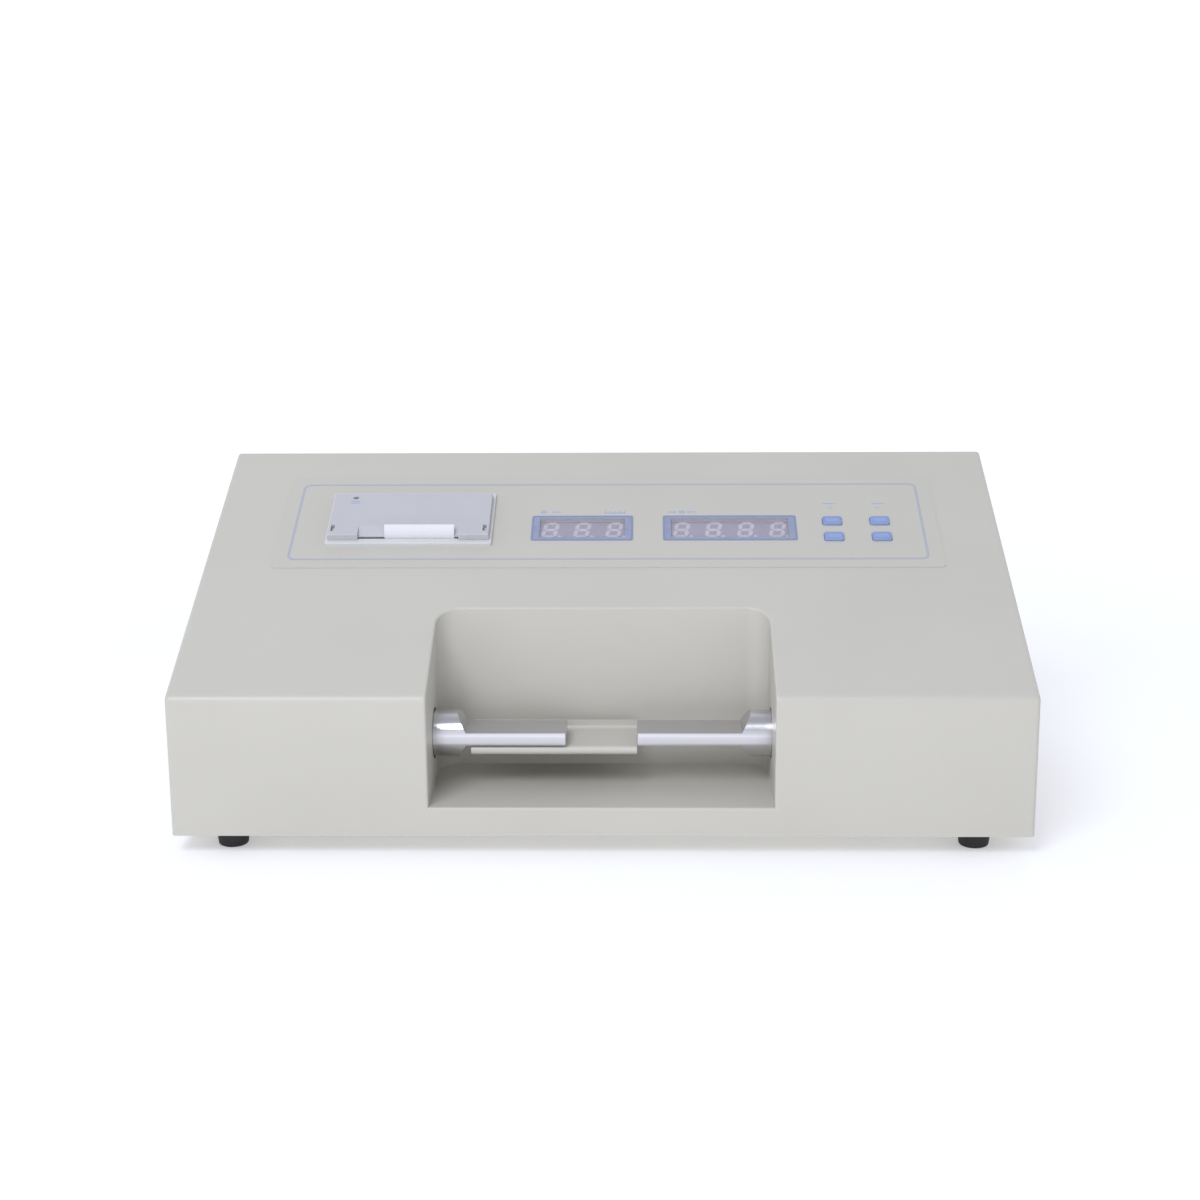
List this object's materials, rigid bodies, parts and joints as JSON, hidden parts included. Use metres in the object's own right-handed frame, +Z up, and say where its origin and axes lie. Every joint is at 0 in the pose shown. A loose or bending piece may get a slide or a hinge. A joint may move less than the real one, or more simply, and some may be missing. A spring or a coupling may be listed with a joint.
{
  "type": "tablet hardness tester",
  "caption": "Bench tablet hardness tester: sloped sheet-metal casing, open test well with flat jaws over a tray, motor-driven ram, displays, keys and a panel printer with hinged cover.",
  "frame": {"origin": "on the bench, under the middle of the casing", "axes": "+X to the right as the user faces the tester, +Y to its back, +Z up"},
  "size_m": [0.49, 0.24, 0.191],
  "materials": {
    "casing_paint": "satin",
    "plated_steel": "satin",
    "ground_steel": "polished",
    "foot_rubber": "matte",
    "frame_aluminium": "satin",
    "jaw_aluminium": "polished",
    "bronze": "satin",
    "black_metal": "satin",
    "panel_film": "satin",
    "bezel_blue": "satin",
    "display_window": "gloss",
    "display_body": "matte",
    "display_segments": "satin",
    "circuit_board": "satin",
    "black_plastic": "matte",
    "key_blue": "satin",
    "lamp_plastic": "gloss",
    "printer_plastic": "matte",
    "thermal_paper": "matte",
    "head_aluminium": "satin",
    "core_steel": "matte",
    "coil_tape": "satin"
  },
  "bodies": {
    "root": {"anvil_jaw": "jaw_aluminium", "anvil_post": "frame_aluminium", "base_plate": "casing_paint", "board_parts": "black_plastic", "casing_screws": "plated_steel", "control_overlay": "panel_film", "display_bezels": "bezel_blue", "display_board": "circuit_board", "display_digits": "display_segments", "display_lenses": "display_window", "display_modules": "display_body", "drive_plate": "frame_aluminium", "feed_gearcase": "printer_plastic", "feet": "foot_rubber", "foot_screws": "plated_steel", "force_bed": "frame_aluminium", "frame_screws": "plated_steel", "fuse_holder": "black_plastic", "guide_rods": "ground_steel", "hinge_pins": "plated_steel", "housing": "casing_paint", "indicator_lamps": "lamp_plastic", "inlet_pins": "plated_steel", "key_switches": "black_plastic", "limit_switches": "black_plastic", "load_cell": "frame_aluminium", "main_board": "circuit_board", "motor": "black_metal", "power_inlet": "black_plastic", "print_head": "head_aluminium", "printer_frame": "printer_plastic", "ram_bush": "bronze", "ram_post": "frame_aluminium", "rear_panel": "casing_paint", "roll_spindle": "black_plastic", "screw_bearings": "ground_steel", "small_screws": "plated_steel", "switch_body": "black_plastic", "switch_rail": "plated_steel", "tablet_tray": "casing_paint", "test_well": "casing_paint", "transformer_coil": "coil_tape", "transformer_core": "core_steel"},
    "screw": {"lead_screw": "ground_steel", "drive_gear": "ground_steel", "lock_nut": "plated_steel"},
    "ram": {"ram_jaw": "jaw_aluminium", "carriage": "frame_aluminium", "carriage_bushes": "bronze", "lead_nut": "bronze"},
    "pinion": {"drive_pinion": "ground_steel"},
    "printer_lid": {"printer_cover": "printer_plastic", "paper_tail": "thermal_paper"},
    "paper": {"paper_roll": "thermal_paper"},
    "platen": {"platen_roller": "foot_rubber"},
    "rocker": {"power_rocker": "black_plastic"},
    "lower_left_button": {"lower_left_key": "key_blue"},
    "upper_left_button": {"upper_left_key": "key_blue"},
    "lower_right_button": {"lower_right_key": "key_blue"},
    "upper_right_button": {"upper_right_key": "key_blue"}
  },
  "joints": [
    {"name": "screw_spin", "type": "hinge", "parent": "root", "child": "screw", "pos_m": [0.2, -0.075, 0.0593], "axis": [1, 0, 0], "range_deg": [0, 7020]},
    {"name": "ram_slide", "type": "slide", "parent": "root", "child": "ram", "axis": [-1, 0, 0], "range_m": [0, 0.039]},
    {"name": "pinion_spin", "type": "hinge", "parent": "root", "child": "pinion", "pos_m": [0.2, -0.031, 0.0593], "axis": [1, 0, 0], "range_deg": [-21060, 0]},
    {"name": "printer_cover_hinge", "type": "hinge", "parent": "root", "child": "printer_lid", "pos_m": [-0.1218, 0.06202, 0.17298], "axis": [-1, 0, 0], "range_deg": [0, 100]},
    {"name": "paper_roll_spin", "type": "hinge", "parent": "root", "child": "paper", "pos_m": [-0.11485, 0.05595, 0.14568], "axis": [1, 0, 0], "continuous": true},
    {"name": "platen_spin", "type": "hinge", "parent": "root", "child": "platen", "pos_m": [-0.11485, 0.03227, 0.14689], "axis": [1, 0, 0], "continuous": true},
    {"name": "rocker_tilt", "type": "hinge", "parent": "root", "child": "rocker", "pos_m": [-0.165, 0.11, 0.05], "axis": [1, 0, 0], "range_deg": [0, 16]},
    {"name": "lower_left_press", "type": "slide", "parent": "root", "child": "lower_left_button", "axis": [0, 0.3746, -0.9272], "range_m": [0, 0.0006], "stiffness_N_per_m": 400},
    {"name": "upper_left_press", "type": "slide", "parent": "root", "child": "upper_left_button", "axis": [0, 0.3746, -0.9272], "range_m": [0, 0.0006], "stiffness_N_per_m": 400},
    {"name": "lower_right_press", "type": "slide", "parent": "root", "child": "lower_right_button", "axis": [0, 0.3746, -0.9272], "range_m": [0, 0.0006], "stiffness_N_per_m": 400},
    {"name": "upper_right_press", "type": "slide", "parent": "root", "child": "upper_right_button", "axis": [0, 0.3746, -0.9272], "range_m": [0, 0.0006], "stiffness_N_per_m": 400}
  ],
  "couplings": [
    {"joint": "ram_slide", "follows": "screw_spin", "m_per_rad": 0.00031831},
    {"joint": "pinion_spin", "follows": "screw_spin", "ratio": -3},
    {"joint": "platen_spin", "follows": "paper_roll_spin", "ratio": -3.3333}
  ]
}
